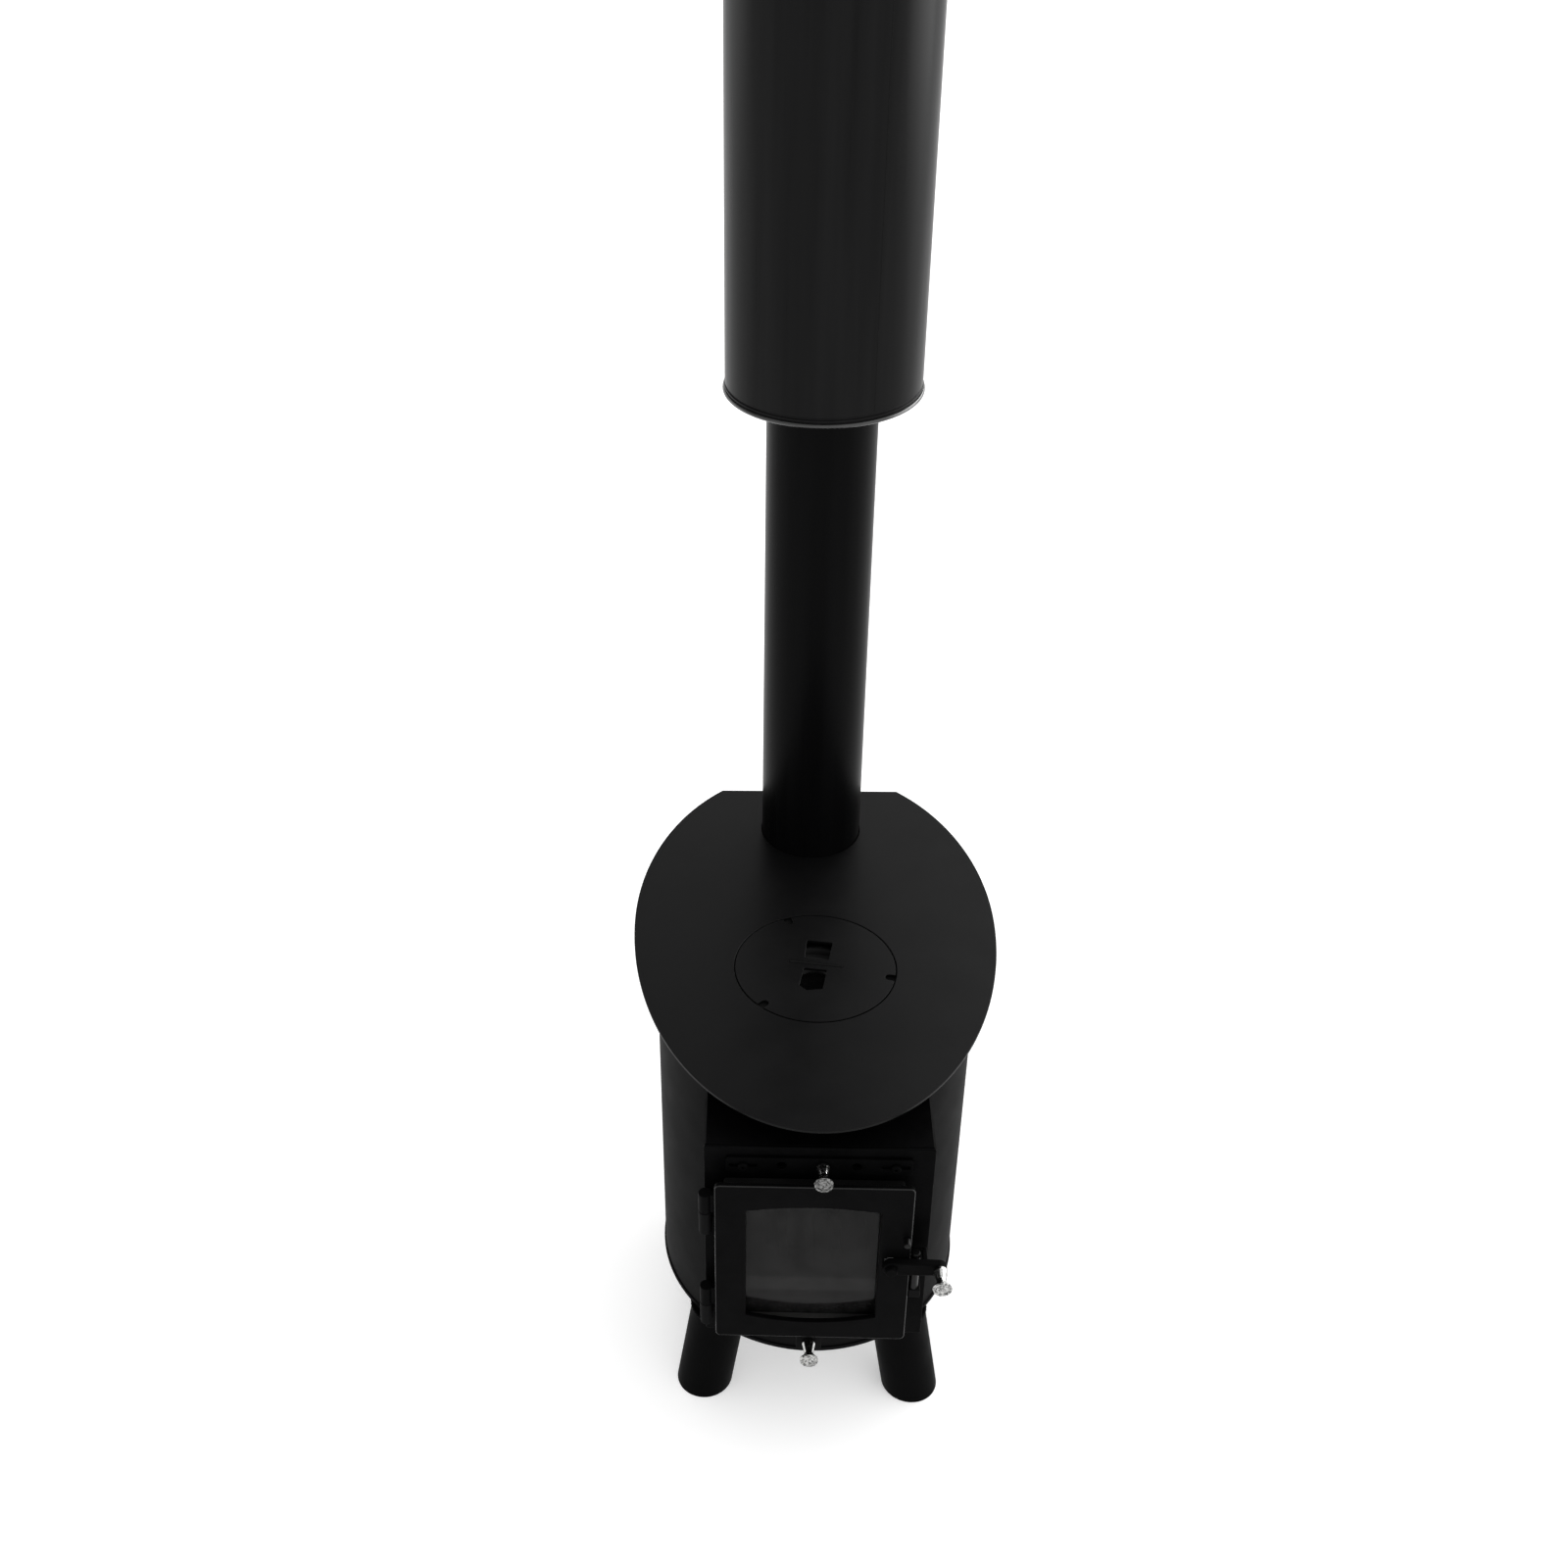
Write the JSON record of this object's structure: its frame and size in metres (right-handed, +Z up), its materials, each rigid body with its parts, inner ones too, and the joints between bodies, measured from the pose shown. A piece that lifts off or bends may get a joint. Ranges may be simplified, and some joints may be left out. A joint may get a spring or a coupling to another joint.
{
  "type": "wood burning stove",
  "caption": "Small free-standing steel wood stove with an oval cooking plate, a lift-out hotplate lid, a glazed hinged door with a drop latch, air slides and an insulated flue section.",
  "frame": {"origin": "on the floor, under the middle of the object's bounding box", "axes": "+Z up; the door faces -Y; +X to the right seen from the front"},
  "size_m": [0.353, 0.567, 1.491],
  "materials": {
    "stove_steel": "matte black heat-resistant paint on steel",
    "raw_dark_iron": "matte",
    "bright_metal": "polished turned metal",
    "flue_steel": "satin black coated stainless steel",
    "liner_steel": "brushed",
    "rope": "woven glass-fibre rope",
    "wool": "mineral wool",
    "firebrick": "matte vermiculite board",
    "window": "clear ceramic glass, lightly smoked"
  },
  "bodies": {
    "stove": {"body_shell": "stove_steel", "base_plate": "stove_steel", "top_plate": "stove_steel", "lid_support_ring": "stove_steel", "smoke_box": "stove_steel", "flue_spigot": "stove_steel", "door_box": "stove_steel", "door_box_face": "stove_steel", "primary_slide_rail_left": "stove_steel", "primary_slide_rail_right": "stove_steel", "frame_hinge_knuckle_upper": "stove_steel", "frame_hinge_knuckle_lower": "stove_steel", "keeper_bracket": "stove_steel", "leg_front_left": "stove_steel", "leg_front_right": "stove_steel", "leg_rear_left": "stove_steel", "leg_rear_right": "stove_steel", "keeper_post": "stove_steel", "hinge_pin_upper": "bright_metal", "hinge_pin_lower": "bright_metal", "flue_pipe": "flue_steel", "flue_jacket": "flue_steel", "jacket_bottom_band": "flue_steel", "jacket_top_ring": "flue_steel", "flue_adaptor": "liner_steel", "flue_liner": "liner_steel", "grate": "raw_dark_iron", "slide_guide_bolt_left": "raw_dark_iron", "slide_guide_bolt_right": "raw_dark_iron", "flue_insulation": "wool", "fire_brick_back": "firebrick", "fire_brick_left": "firebrick", "fire_brick_right": "firebrick", "baffle": "firebrick"},
    "door": {"door_plate": "stove_steel", "door_seal_channel": "stove_steel", "door_rope_seal": "rope", "glass_gasket": "rope", "door_glass": "window", "glass_clip_left": "stove_steel", "glass_clip_right": "stove_steel", "glass_screw_left_low": "bright_metal", "glass_screw_left_high": "bright_metal", "glass_screw_right_low": "bright_metal", "glass_screw_right_high": "bright_metal", "door_hinge_lug_upper": "stove_steel", "door_hinge_lug_lower": "stove_steel", "latch_pivot_bolt": "stove_steel", "latch_washer": "bright_metal", "latch_stop_pin": "stove_steel"},
    "latch": {"latch_lever": "stove_steel", "latch_hook": "stove_steel", "latch_knob": "bright_metal"},
    "lid": {"hotplate_lid": "stove_steel", "lid_lift_bar": "stove_steel", "lid_pocket": "stove_steel"},
    "secondary_air": {"secondary_air_slide": "stove_steel", "secondary_air_knob": "bright_metal"},
    "primary_air": {"primary_air_slide": "stove_steel", "primary_air_knob": "bright_metal"}
  },
  "joints": [
    {"name": "door_hinge", "type": "hinge", "parent": "stove", "child": "door", "pos_m": [-0.1005, -0.2435, 0.3165], "axis": [0, 0, -1], "range_deg": [0, 110]},
    {"name": "latch_pivot", "type": "hinge", "parent": "door", "child": "latch", "pos_m": [0.0667, -0.257, 0.324], "axis": [0, -1, 0], "range_deg": [0, 40]},
    {"name": "lid_lift", "type": "slide", "parent": "stove", "child": "lid", "axis": [0, 0, 1], "range_m": [0, 0.12]},
    {"name": "secondary_air_slide", "type": "slide", "parent": "stove", "child": "secondary_air", "axis": [1, 0, 0], "range_m": [-0.01, 0.01]},
    {"name": "primary_air_slide", "type": "slide", "parent": "stove", "child": "primary_air", "axis": [0, -1, 0], "range_m": [0, 0.018]}
  ]
}
